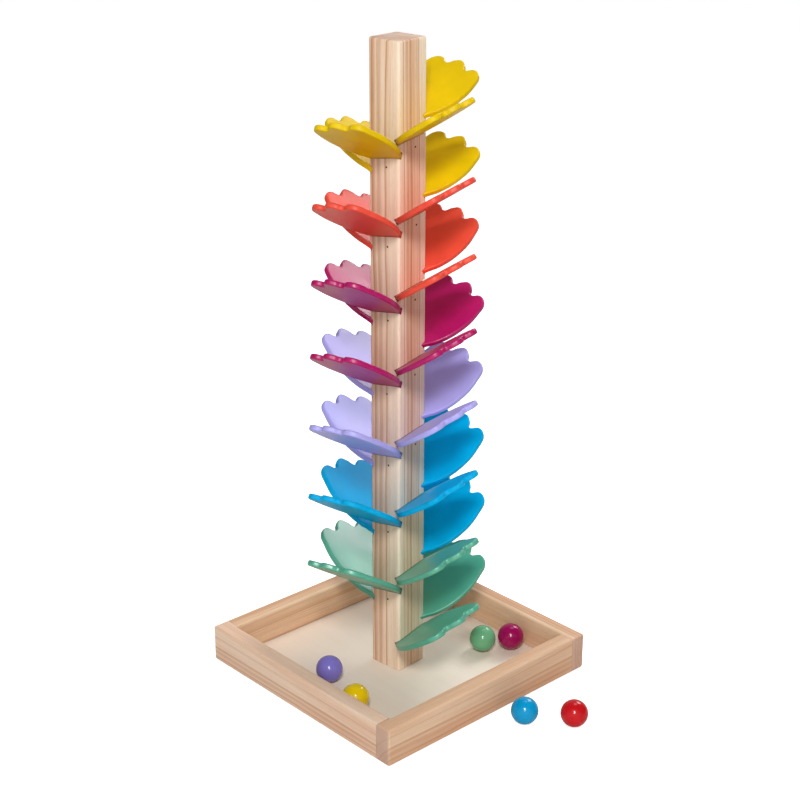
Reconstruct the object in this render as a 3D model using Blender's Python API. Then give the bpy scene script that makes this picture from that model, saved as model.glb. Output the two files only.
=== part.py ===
"""Marble run tree: a pine post with thirty lobed petals winding down it, standing in a square catch tray.

A ball laid on the top petal rolls along it, drops to the next one round the post, and so on down to the tray.
Units are metres, +Z is up, and the origin is the middle of the tray's underside.
"""
import math

import bmesh
import bpy
from mathutils import Matrix, Vector

# Fit
GAP = 0.0003
WELD_DISTANCE = 0.000001
ROUNDING_STEPS = 3

# Tray: four battens in a pinwheel of butt joints, round a thin floor panel
TRAY_SIDE = 0.200
RIM_HEIGHT = 0.0285
BATTEN_THICKNESS = 0.0128
BATTEN_ROUNDING = 0.0020
FLOOR_THICKNESS = 0.0040
FLOOR_REBATE_DEPTH = 0.0050
BATTEN_PROUD = 0.0001

# Post
POST_SIDE = 0.028
POST_TOP = 0.4767
POST_TURN = math.radians(4.8)
POST_ROUNDING = 0.0018

# Petals: a spiral that goes round clockwise, seen from above, one face at a time
PETALS = 30
PETALS_PER_COLOUR = 5
PETAL_THICKNESS = 0.0040
PETAL_FALL = math.radians(9.3)
FIRST_PETAL_HEIGHT = 0.4240
PETAL_STEP = 0.01369
FACE_TURN = math.radians(90.0)
RISE_FIRST, RISE_LAST = math.radians(31.0), math.radians(34.5)
LENGTH_FIRST, LENGTH_LAST = 0.0535, 0.0710
HALF_WIDTH_FIRST, HALF_WIDTH_LAST = 0.0250, 0.0290
ROOT_HALF_WIDTH = 0.0150
TONGUE_DEPTH = 0.0100
PETAL_CURVE_STEPS = 3
SLOT_REACH = 0.0080
SLOT_ARC_STEPS = 10

# A petal's round tongue can swivel in its slot: the usual swivel, and the petals that were glued in off it
SWIVEL = -2.0
ODD_SWIVELS = {3: 1.0, 4: -5.5, 8: -5.5, 9: 2.5, 12: -6.0, 13: -7.0}

# Petal outline: points of one half, as shares of the half width and of the length
TONGUE_SHARES = (0.40, 0.75, 1.00)
FLARE_SHARE, FLARE_HEIGHT = 0.52, 0.140
OUTER_EDGE = (
    (1.000, 0.445),
    (0.965, 0.735),
    (0.830, 0.895),
    (0.600, 0.936),
    (0.350, 0.880),
    (0.195, 0.953),
)

# Screws that hold the post, driven up through the tray floor
SCREW_OFFSET = 0.0080
SCREW_LENGTH = 0.0300
SCREW_HEAD_RADIUS = 0.0040
SCREW_SHANK_RADIUS = 0.0020
SCREW_HEAD_DEPTH = 0.0022
SCREW_POINT_LENGTH = 0.0050
SCREW_RECESS = 0.0003
SCREW_STEPS = 20

# Balls: name, place on the floor, and the height of the floor each one lies on
BALL_RADIUS = 0.0100
BALL_SEGMENTS, BALL_RINGS = 20, 12
TRAY_FLOOR_TOP = FLOOR_THICKNESS + GAP
TABLE_TOP = 0.0
BALLS = {
    "violet": (-0.0603, 0.0100, TRAY_FLOOR_TOP),
    "yellow": (-0.0722, -0.0332, TRAY_FLOOR_TOP),
    "green": (0.0564, -0.0350, TRAY_FLOOR_TOP),
    "magenta": (0.0746, -0.0475, TRAY_FLOOR_TOP),
    "blue": (0.0103, -0.1237, TABLE_TOP),
    "red": (0.0340, -0.1502, TABLE_TOP),
}

# Paint, in sRGB, from the top of the spiral to the bottom
PETAL_PAINTS = {
    "yellow": (0.94, 0.80, 0.05),
    "red": (0.95, 0.33, 0.25),
    "magenta": (0.68, 0.08, 0.36),
    "violet": (0.63, 0.58, 0.86),
    "blue": (0.06, 0.60, 0.82),
    "green": (0.34, 0.66, 0.53),
}
PINE = (0.86, 0.69, 0.52)
PALE_PLY = (0.91, 0.85, 0.78)
STEEL = (0.72, 0.73, 0.75)
PAINT_ROUGHNESS = 0.45
GLOSS_ROUGHNESS = 0.15
WOOD_ROUGHNESS = 0.60
STEEL_ROUGHNESS = 0.35

UP = Vector((0.0, 0.0, 1.0))


def clear_scene():
    """Remove every object of the open file."""
    for item in list(bpy.data.objects):
        bpy.data.objects.remove(item, do_unlink=True)


def new_collection(name):
    """Add a collection to the scene."""
    collection = bpy.data.collections.new(name)
    bpy.context.scene.collection.children.link(collection)
    return collection


def linear(channel):
    """Turn one sRGB channel into a linear one."""
    if channel <= 0.04045:
        return channel / 12.92
    return ((channel + 0.055) / 1.055) ** 2.4


def make_material(name, colour, roughness, metallic=0.0):
    """Make a plain material in one sRGB colour."""
    material = bpy.data.materials.new(name)
    material.use_nodes = True
    shader = material.node_tree.nodes["Principled BSDF"]
    shader.inputs["Base Color"].default_value = (*(linear(channel) for channel in colour), 1.0)
    shader.inputs["Roughness"].default_value = roughness
    shader.inputs["Metallic"].default_value = metallic
    return material


def add_object(name, data, collection, material=None):
    """Place a mesh or curve in a collection under a plain name."""
    item = bpy.data.objects.new(name, data)
    collection.objects.link(item)
    if material:
        data.materials.append(material)
    return item


def add_guide(name, data, collection):
    """Place a cutting shape, which is no part of the object."""
    guide = add_object(name, data, collection)
    guide.hide_render = True
    guide.display_type = "WIRE"
    return guide


def box_mesh(name, low, high):
    """Make an upright box between two corners."""
    low, high = Vector(low), Vector(high)
    shape = bmesh.new()
    bmesh.ops.create_cube(shape, size=1.0)
    bmesh.ops.scale(shape, vec=high - low, verts=shape.verts)
    bmesh.ops.translate(shape, vec=(low + high) / 2, verts=shape.verts)
    return finish_mesh(shape, name)


def finish_mesh(shape, name):
    """Write a bmesh to a new mesh."""
    mesh = bpy.data.meshes.new(name)
    shape.to_mesh(mesh)
    shape.free()
    return mesh


def round_edges(mesh, chosen, radius):
    """Round the edges whose two ends pass a test."""
    shape = bmesh.new()
    shape.from_mesh(mesh)
    edges = [edge for edge in shape.edges if chosen(edge.verts[0].co, edge.verts[1].co)]
    bmesh.ops.bevel(shape, geom=edges, offset=radius, segments=ROUNDING_STEPS, affect="EDGES")
    shape.to_mesh(mesh)
    shape.free()


def baked_mesh(item, name):
    """Take an object's evaluated shape as a welded mesh, and remove the object."""
    bpy.context.view_layer.update()
    evaluated = item.evaluated_get(bpy.context.evaluated_depsgraph_get())
    mesh = bpy.data.meshes.new_from_object(evaluated)
    mesh.name = name
    bpy.data.objects.remove(item, do_unlink=True)
    shape = bmesh.new()
    shape.from_mesh(mesh)
    bmesh.ops.remove_doubles(shape, verts=shape.verts, dist=WELD_DISTANCE)
    bmesh.ops.recalc_face_normals(shape, faces=shape.faces)
    shape.to_mesh(mesh)
    shape.free()
    return mesh


def add_boolean(item, operation, cutter, solver="EXACT"):
    """Cut an object with another object or with a whole collection of them."""
    modifier = item.modifiers.new(operation.lower(), "BOOLEAN")
    modifier.operation = operation
    modifier.solver = solver
    if isinstance(cutter, bpy.types.Collection):
        modifier.operand_type = "COLLECTION"
        modifier.collection = cutter
    else:
        modifier.object = cutter


def flat_plate(name, spline_type, points, thickness, steps, collection):
    """Make a plate with a given outline, lying half above and half below its own XY plane."""
    curve = bpy.data.curves.new(name, "CURVE")
    curve.dimensions = "2D"
    curve.fill_mode = "BOTH"
    curve.extrude = thickness / 2
    curve.resolution_u = steps
    spline = curve.splines.new(spline_type)
    spline.use_cyclic_u = True
    if spline_type == "BEZIER":
        spline.bezier_points.add(len(points) - 1)
        for knot, (along, out) in zip(spline.bezier_points, points):
            knot.co = (along, out, 0.0)
            knot.handle_left_type = knot.handle_right_type = "AUTO"
    else:
        spline.points.add(len(points) - 1)
        for knot, (along, out) in zip(spline.points, points):
            knot.co = (along, out, 0.0, 1.0)
    return baked_mesh(add_object(name, curve, collection), name)


def tongue_arc(clearance):
    """Give the round root of a petal: its radius and the distance of its centre from the post's face."""
    radius = (ROOT_HALF_WIDTH**2 + TONGUE_DEPTH**2) / (2 * TONGUE_DEPTH)
    return radius + clearance, radius - TONGUE_DEPTH


def petal_outline(length, half_width):
    """Trace one petal: a round root, sides that swell out, and a three-lobed outer edge."""
    radius, centre = tongue_arc(0.0)
    root_angle = math.asin(ROOT_HALF_WIDTH / radius)
    flare = half_width - ROOT_HALF_WIDTH
    right = []
    for share in TONGUE_SHARES:
        angle = share * root_angle
        right.append((radius * math.sin(angle), centre - radius * math.cos(angle)))
    right.append((ROOT_HALF_WIDTH + FLARE_SHARE * flare, FLARE_HEIGHT * length))
    right += [(across * half_width, out * length) for across, out in OUTER_EDGE]
    left = [(-along, out) for along, out in reversed(right)]
    return [(0.0, -TONGUE_DEPTH), *right, (0.0, length), *left]


def slot_outline():
    """Trace the slot a petal sits in, from its round bottom to beyond the post's face."""
    radius, centre = tongue_arc(GAP)
    reach_angle = math.acos(centre / radius)
    points = []
    for step in range(SLOT_ARC_STEPS + 1):
        angle = reach_angle * (2 * step / SLOT_ARC_STEPS - 1)
        points.append((radius * math.sin(angle), centre - radius * math.cos(angle)))
    wide = points[-1][0] + 2 * GAP
    return [*points, (wide, SLOT_REACH), (-wide, SLOT_REACH)]


def along_spiral(index, first, last):
    """Grade a value evenly from the top petal to the bottom one."""
    return first + (last - first) * index / (PETALS - 1)


def petal_swivel(index):
    """Turn a petal about the middle of its round tongue, by as much as it was glued in off the square."""
    middle = Matrix.Translation((0.0, tongue_arc(0.0)[1], 0.0))
    angle = math.radians(ODD_SWIVELS.get(index + 1, SWIVEL))
    return middle @ Matrix.Rotation(angle, 4, "Z") @ middle.inverted()


def petal_place(index):
    """Give the frame of a petal: X along the post's face, Y outwards, Z square to the plate."""
    turn = POST_TURN - index * FACE_TURN
    rise = along_spiral(index, RISE_FIRST, RISE_LAST)
    outward = Vector((math.cos(turn), math.sin(turn), 0.0))
    downstream = Vector((math.sin(turn), -math.cos(turn), 0.0))
    normal = (UP - outward * math.tan(rise) + downstream * math.tan(PETAL_FALL)).normalized()
    along = (downstream - UP * math.tan(PETAL_FALL)).normalized()
    out = normal.cross(along)
    root = outward * POST_SIDE / 2 + UP * (FIRST_PETAL_HEIGHT - index * PETAL_STEP)
    middle = root + normal * PETAL_THICKNESS / 2
    axes = Matrix((along, out, normal)).transposed().to_4x4()
    return Matrix.Translation(middle) @ axes


def screw_mesh(name, clearance):
    """Turn a countersunk screw, or with a clearance the hole for one, standing on its head."""
    head = SCREW_HEAD_RADIUS + clearance
    shank = SCREW_SHANK_RADIUS + clearance
    face = SCREW_RECESS + clearance
    top = face + SCREW_LENGTH
    profile = [
        (0.0, top),
        (shank, top - SCREW_POINT_LENGTH),
        (shank, face + SCREW_HEAD_DEPTH),
        (head, face),
    ]
    if clearance:
        profile.append((head, -clearance))
    profile.append((0.0, profile[-1][1]))
    shape = bmesh.new()
    corners = [shape.verts.new((radius, 0.0, height)) for radius, height in profile]
    for first, second in zip(corners, corners[1:]):
        shape.edges.new((first, second))
    bmesh.ops.spin(
        shape,
        geom=shape.verts[:] + shape.edges[:],
        cent=(0.0, 0.0, 0.0),
        axis=UP,
        angle=2 * math.pi,
        steps=SCREW_STEPS,
    )
    bmesh.ops.remove_doubles(shape, verts=shape.verts, dist=WELD_DISTANCE)
    bmesh.ops.recalc_face_normals(shape, faces=shape.faces)
    return finish_mesh(shape, name)


def screw_places():
    """Give the two screw positions, on a line through the post's middle."""
    across = Vector((math.cos(POST_TURN), math.sin(POST_TURN), 0.0))
    return [across * SCREW_OFFSET, -across * SCREW_OFFSET]


def petal_paint(index):
    """Name the paint of a petal."""
    return list(PETAL_PAINTS)[index // PETALS_PER_COLOUR]


def build_petals(parts, paints):
    """Make the petals, each one a little longer than the one above it."""
    for index in range(PETALS):
        length = along_spiral(index, LENGTH_FIRST, LENGTH_LAST)
        half_width = along_spiral(index, HALF_WIDTH_FIRST, HALF_WIDTH_LAST)
        paint = petal_paint(index)
        name = f"petal_{index + 1:02d}_{paint}"
        outline = petal_outline(length, half_width)
        mesh = flat_plate(name, "BEZIER", outline, PETAL_THICKNESS, PETAL_CURVE_STEPS, parts)
        petal = add_object(name, mesh, parts, paints[paint])
        petal.matrix_world = petal_place(index) @ petal_swivel(index)


def build_post(parts, slots, holes, pine):
    """Make the post, with a slot for each petal and pilot holes for the two screws."""
    half = POST_SIDE / 2
    foot = FLOOR_THICKNESS + GAP
    mesh = box_mesh("post", (-half, -half, foot), (half, half, POST_TOP))
    round_edges(mesh, lambda a, b: max(a.z, b.z) > foot + half, POST_ROUNDING)
    post = add_object("post", mesh, parts, pine)
    post.rotation_euler.z = POST_TURN
    slot = flat_plate("slot", "POLY", slot_outline(), PETAL_THICKNESS + 2 * GAP, 1, slots)
    for index in range(PETALS):
        cutter = add_guide(f"slot_{index + 1:02d}", slot, slots)
        cutter.matrix_world = petal_place(index)
    add_boolean(post, "DIFFERENCE", slots)
    add_boolean(post, "DIFFERENCE", holes)


def build_tray(parts, guides, holes, pine, ply):
    """Make the four battens, rounded as one frame, and the floor panel let into them."""
    half = TRAY_SIDE / 2
    inner = half - BATTEN_THICKNESS
    beyond = half + BATTEN_THICKNESS
    floor_half = inner + FLOOR_REBATE_DEPTH

    opening = box_mesh("opening", (-inner, -inner, -half), (inner, inner, half))
    block = add_object("block", box_mesh("block", (-half, -half, 0), (half, half, RIM_HEIGHT)), guides)
    add_boolean(block, "DIFFERENCE", add_guide("opening", opening, guides))
    ring = baked_mesh(block, "ring")

    def on_frame_edge(a, b):
        """Choose the frame's upper and lower edges and its outer corners."""
        level = abs(a.z - b.z) < GAP
        corner = min(abs(a.x), abs(a.y), abs(b.x), abs(b.y)) > half - GAP
        return level and (a - b).length > inner or corner and not level

    round_edges(ring, on_frame_edge, BATTEN_ROUNDING)

    rebate = floor_half + GAP
    low = (-beyond, -beyond, -half)
    high = (inner - BATTEN_PROUD - GAP, -inner + BATTEN_PROUD, half)
    batten = add_object("batten", box_mesh("batten", low, high), guides)
    add_boolean(batten, "INTERSECT", add_guide("ring", ring, guides), solver="MANIFOLD")
    seat = box_mesh("seat", (-rebate, -rebate, -half), (rebate, rebate, FLOOR_THICKNESS + GAP))
    add_boolean(batten, "DIFFERENCE", add_guide("seat", seat, guides))
    side = baked_mesh(batten, "tray_side")
    side.materials.clear()
    side.materials.append(pine)
    for quarter, place in enumerate(("right_front", "back_right", "back_left", "left_front")):
        piece = add_object(f"tray_side_{place}", side, parts)
        piece.rotation_euler.z = quarter * FACE_TURN

    panel = box_mesh("tray_floor", (-floor_half, -floor_half, 0), (floor_half, floor_half, FLOOR_THICKNESS))
    add_boolean(add_object("tray_floor", panel, parts, ply), "DIFFERENCE", holes)


def build_screws(parts, holes, steel):
    """Make the two screws that hold the post, and the cutters for their holes."""
    mesh = screw_mesh("base_screw", 0.0)
    mesh.materials.append(steel)
    hole = screw_mesh("screw_hole", GAP)
    for number, place in enumerate(screw_places(), start=1):
        add_object(f"base_screw_{number}", mesh, parts).location = place
        add_guide(f"screw_hole_{number}", hole, holes).location = place


def build_balls(parts, paints):
    """Make the loose balls, each with its origin at its middle."""
    for paint, (x, y, floor) in BALLS.items():
        shape = bmesh.new()
        bmesh.ops.create_uvsphere(shape, u_segments=BALL_SEGMENTS, v_segments=BALL_RINGS, radius=BALL_RADIUS)
        mesh = finish_mesh(shape, f"ball_{paint}")
        mesh.shade_smooth()
        ball = add_object(f"ball_{paint}", mesh, parts, paints[paint])
        ball.location = (x, y, floor + BALL_RADIUS)


def main():
    """Build the whole tree."""
    clear_scene()
    parts = new_collection("marble_run_tree")
    guides = new_collection("tray_guides")
    slots = new_collection("slot_cutters")
    holes = new_collection("hole_cutters")

    pine = make_material("pine", PINE, WOOD_ROUGHNESS)
    ply = make_material("pale_ply", PALE_PLY, WOOD_ROUGHNESS)
    steel = make_material("screw_steel", STEEL, STEEL_ROUGHNESS, metallic=1.0)
    petal_paints = {}
    ball_paints = {}
    for name, colour in PETAL_PAINTS.items():
        petal_paints[name] = make_material(f"petal_{name}", colour, PAINT_ROUGHNESS)
        ball_paints[name] = make_material(f"ball_{name}", colour, GLOSS_ROUGHNESS)

    build_screws(parts, holes, steel)
    build_tray(parts, guides, holes, pine, ply)
    build_post(parts, slots, holes, pine)
    build_petals(parts, petal_paints)
    build_balls(parts, ball_paints)


main()
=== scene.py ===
"""Marble run tree, finished: every piece as it leaves the workshop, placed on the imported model.

A square pine post stands in a shallow pine tray. Thirty painted petals wind down the post in six colours,
and six turned and painted balls lie in the tray and beside it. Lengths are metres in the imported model's own
frame, and wood and paint patterns are sized in millimetres.
"""

import logging
import math
from collections.abc import Callable, Iterator, Sequence
from contextlib import contextmanager
from dataclasses import dataclass
from enum import Enum

import bmesh
import bpy
from mathutils import Color, Matrix, Vector


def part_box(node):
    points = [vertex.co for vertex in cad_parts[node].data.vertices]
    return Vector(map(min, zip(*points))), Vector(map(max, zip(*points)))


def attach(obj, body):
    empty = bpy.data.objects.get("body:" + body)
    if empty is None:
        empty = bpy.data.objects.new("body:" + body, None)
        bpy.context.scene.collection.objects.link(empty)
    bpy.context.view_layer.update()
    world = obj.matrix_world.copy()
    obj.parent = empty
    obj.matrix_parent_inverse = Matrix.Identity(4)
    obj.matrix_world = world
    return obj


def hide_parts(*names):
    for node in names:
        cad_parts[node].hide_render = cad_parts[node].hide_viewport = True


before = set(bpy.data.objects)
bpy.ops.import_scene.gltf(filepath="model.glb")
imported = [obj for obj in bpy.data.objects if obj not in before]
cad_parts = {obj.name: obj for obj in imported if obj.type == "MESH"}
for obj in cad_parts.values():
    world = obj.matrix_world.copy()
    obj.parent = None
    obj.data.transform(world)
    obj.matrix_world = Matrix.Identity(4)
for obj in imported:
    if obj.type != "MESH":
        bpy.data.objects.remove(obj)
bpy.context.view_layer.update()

TREE_BODY = "tree"
UP = Vector((0.0, 0.0, 1.0))
QUARTER_TURN = math.radians(90.0)
SMOOTH_ANGLE = math.radians(32.0)
WELD_DISTANCE = 0.000001
FIT_GAP = 0.0003
LEVEL_FACE = 0.9
QUAD_CORNERS = 4
MILLIMETRES = 1000.0
FULL_CHANNEL = 255
WHOLE = (0.0, 1.0)
UNMOVED = (0.0, 0.0, 0.0)

# Sockets of the colour form of the Mix node
MIX_FIRST, MIX_SECOND, MIX_RESULT = 6, 7, 2

Piece = bpy.types.Object
Node = bpy.types.Node
Socket = bpy.types.NodeSocket
Material = bpy.types.Material
Colour = tuple[float, float, float, float]
Triple = tuple[float, float, float]
Pair = tuple[float, float]
Value = Socket | float | Sequence[float]

log = logging.getLogger("marble_run_tree")


class Paint(Enum):
    """The six paints, from the top of the spiral to the bottom."""

    YELLOW = "yellow"
    RED = "red"
    MAGENTA = "magenta"
    VIOLET = "violet"
    BLUE = "blue"
    GREEN = "green"


class Side(Enum):
    """The tray's sides, each a quarter turn on from the one before."""

    RIGHT_FRONT = "right_front"
    BACK_RIGHT = "back_right"
    BACK_LEFT = "back_left"
    LEFT_FRONT = "left_front"

    @property
    def node(self) -> str:
        """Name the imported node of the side's batten."""
        return f"tray_side_{self.value}"


class Select(Enum):
    """What is picked in edit mode."""

    POINTS = "VERT"
    EDGES = "EDGE"
    FACES = "FACE"


class Blend(Enum):
    """How one colour goes over another."""

    MIX = "MIX"
    MULTIPLY = "MULTIPLY"


class SocketKind(Enum):
    """What a node group's socket carries."""

    VECTOR = "NodeSocketVector"
    COLOUR = "NodeSocketColor"
    NUMBER = "NodeSocketFloat"


def screen_colour(red: int, green: int, blue: int) -> Colour:
    """Turn a screen colour, 0 to 255 a channel, into an opaque linear one."""
    shares = Color((red, green, blue)) / FULL_CHANNEL
    return (*shares.from_srgb_to_scene_linear(), 1.0)


def pick_only(piece: Piece) -> None:
    """Deselect everything, then select one object and make it active.

    Args:
        piece: The object to pick.
    """
    bpy.ops.object.select_all(action="DESELECT")
    piece.select_set(True)
    bpy.context.view_layer.objects.active = piece


@contextmanager
def editing(piece: Piece) -> Iterator[None]:
    """Open an object in edit mode with everything in it selected, and leave edit mode afterwards.

    Args:
        piece: The object to edit.

    Yields:
        Nothing, while the object is open.
    """
    pick_only(piece)
    bpy.ops.object.mode_set(mode="EDIT")
    bpy.ops.mesh.select_all(action="SELECT")
    yield
    bpy.ops.object.mode_set(mode="OBJECT")


def select_where(piece: Piece, kind: Select, wanted: Callable[..., bool]) -> None:
    """Select the edges or faces of a piece in edit mode that pass a test.

    Args:
        piece: The object that is open in edit mode.
        kind: Whether edges or faces are picked.
        wanted: The test that each edge or face is put to.
    """
    bpy.ops.mesh.select_mode(type=kind.value)
    bpy.ops.mesh.select_all(action="DESELECT")
    shape = bmesh.from_edit_mesh(piece.data)
    for item in shape.edges if kind is Select.EDGES else shape.faces:
        if wanted(item):
            item.select_set(True)
    shape.select_flush_mode()
    bmesh.update_edit_mesh(piece.data)


def edge_ends(edge: bmesh.types.BMEdge) -> tuple[Vector, Vector]:
    """Give the two ends of an edge."""
    return edge.verts[0].co, edge.verts[1].co


def is_level(edge: bmesh.types.BMEdge) -> bool:
    """Say whether an edge lies level."""
    first, second = edge_ends(edge)
    return abs(first.z - second.z) < FIT_GAP


def apply_place(piece: Piece) -> None:
    """Write an object's place, turn and scale into its mesh."""
    pick_only(piece)
    bpy.ops.object.transform_apply(location=True, rotation=True, scale=True)


def apply_modifier(piece: Piece, kind: str, **settings: object) -> None:
    """Give an object a modifier and apply it.

    Args:
        piece: The object.
        kind: The modifier's type.
        **settings: The modifier's own properties.
    """
    pick_only(piece)
    bpy.ops.object.modifier_add(type=kind)
    modifier = piece.modifiers[-1]
    for name, value in settings.items():
        setattr(modifier, name, value)
    bpy.ops.object.modifier_apply(modifier=modifier.name)


def add_block(low: Sequence[float], high: Sequence[float]) -> Piece:
    """Add a cube primitive that fills the space between two corners.

    Args:
        low: The lowest corner.
        high: The highest corner.

    Returns:
        The block, with its place in its mesh.
    """
    bpy.ops.mesh.primitive_cube_add(size=1.0, location=(Vector(low) + Vector(high)) / 2)
    block = bpy.context.object
    block.scale = Vector(high) - Vector(low)
    apply_place(block)
    return block


def turn_profile(profile: Sequence[Pair], steps: int) -> Piece:
    """Turn a profile about the Z axis, as on a lathe.

    Args:
        profile: Radius and height of each corner, in order.
        steps: Faces round the axis.

    Returns:
        The turned piece, closed where the profile meets the axis.
    """
    corners = [Vector((radius, 0.0, height)) for radius, height in profile]
    bpy.ops.mesh.primitive_plane_add(size=1.0)
    turned = bpy.context.object
    with editing(turned):
        bpy.ops.mesh.select_mode(type=Select.POINTS.value)
        bpy.ops.mesh.merge(type="CENTER")
        bpy.ops.transform.translate(value=corners[0])
        for start, end in zip(corners, corners[1:]):
            bpy.ops.mesh.extrude_vertices_move(TRANSFORM_OT_translate={"value": end - start})
        bpy.ops.mesh.select_all(action="SELECT")
        bpy.ops.mesh.spin(steps=steps, angle=2 * math.pi, center=(0.0, 0.0, 0.0), axis=UP)
        bpy.ops.mesh.select_all(action="SELECT")
        bpy.ops.mesh.remove_doubles(threshold=WELD_DISTANCE)
        bpy.ops.mesh.normals_make_consistent(inside=False)
    return turned


def outline_loop(points: Sequence[Pair], steps: int) -> Piece:
    """Draw a smooth closed loop through flat points.

    Args:
        points: The loop's knots.
        steps: Straight pieces between two knots.

    Returns:
        The loop as a mesh of edges, in the XY plane.
    """
    bpy.ops.curve.primitive_bezier_circle_add(radius=1.0)
    loop = bpy.context.object
    loop.data.dimensions = "2D"
    loop.data.fill_mode = "NONE"
    loop.data.resolution_u = steps
    knots = loop.data.splines[0].bezier_points
    knots.add(len(points) - len(knots))
    for knot, (along, out) in zip(knots, points):
        knot.co = (along, out, 0.0)
        knot.handle_left_type = "AUTO"
        knot.handle_right_type = "AUTO"
    pick_only(loop)
    bpy.ops.object.convert(target="MESH")
    return bpy.context.object


def remove_pieces(pieces: Sequence[Piece]) -> None:
    """Delete helper objects."""
    for piece in pieces:
        bpy.data.objects.remove(piece, do_unlink=True)


def cut_away(piece: Piece, cutters: Sequence[Piece]) -> None:
    """Cut closed shapes out of a piece, one after the other."""
    for cutter in cutters:
        apply_modifier(piece, "BOOLEAN", operation="DIFFERENCE", object=cutter)


def saw_off(piece: Piece, place: Triple, normal: Triple) -> None:
    """Saw a piece along a plane, close the cut and drop what lies in front of it."""
    with editing(piece):
        bpy.ops.mesh.bisect(plane_co=place, plane_no=normal, use_fill=True, clear_outer=True)


def set_out(pattern: Piece, places: Sequence[Matrix]) -> list[Piece]:
    """Copy a pattern to each of its places, and delete the pattern.

    Args:
        pattern: The piece that is modelled once.
        places: Where its copies go.

    Returns:
        The copies, each with a mesh of its own and its place in that mesh.
    """
    copies = []
    for place in places:
        pick_only(pattern)
        bpy.ops.object.duplicate(linked=False)
        copy = bpy.context.object
        copy.matrix_world = place
        apply_place(copy)
        copies.append(copy)
    remove_pieces([pattern])
    return copies


def join_pieces(pieces: Sequence[Piece]) -> Piece:
    """Join objects into the first of them.

    Args:
        pieces: The objects that become one.

    Returns:
        The joined object.
    """
    pick_only(pieces[0])
    for piece in pieces:
        piece.select_set(True)
    bpy.ops.object.join()
    return pieces[0]


def dress(piece: Piece, material: Material) -> None:
    """Give a piece one material."""
    piece.data.materials.clear()
    piece.data.materials.append(material)


def hand_over(
    piece: Piece, name: str, material: Material, slot: str, nodes: Sequence[str] = (), body: str = TREE_BODY
) -> None:
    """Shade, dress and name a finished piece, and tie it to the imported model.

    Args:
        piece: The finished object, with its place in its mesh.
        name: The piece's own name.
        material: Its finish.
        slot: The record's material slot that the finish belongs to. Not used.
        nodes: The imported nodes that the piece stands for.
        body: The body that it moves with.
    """
    pick_only(piece)
    bpy.ops.object.shade_smooth_by_angle(angle=SMOOTH_ANGLE)
    dress(piece, material)
    piece.name = name
    piece.data.name = name
    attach(piece, body)
    if nodes:
        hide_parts(*nodes)
    log.info("%s: %d faces, moves with %s", name, len(piece.data.polygons), body)


@dataclass(frozen=True)
class Noise:
    """A noise: grains per millimetre along each axis, finer layers, and the span of it that is used."""

    stretch: Triple
    detail: float
    span: Pair = WHOLE


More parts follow.
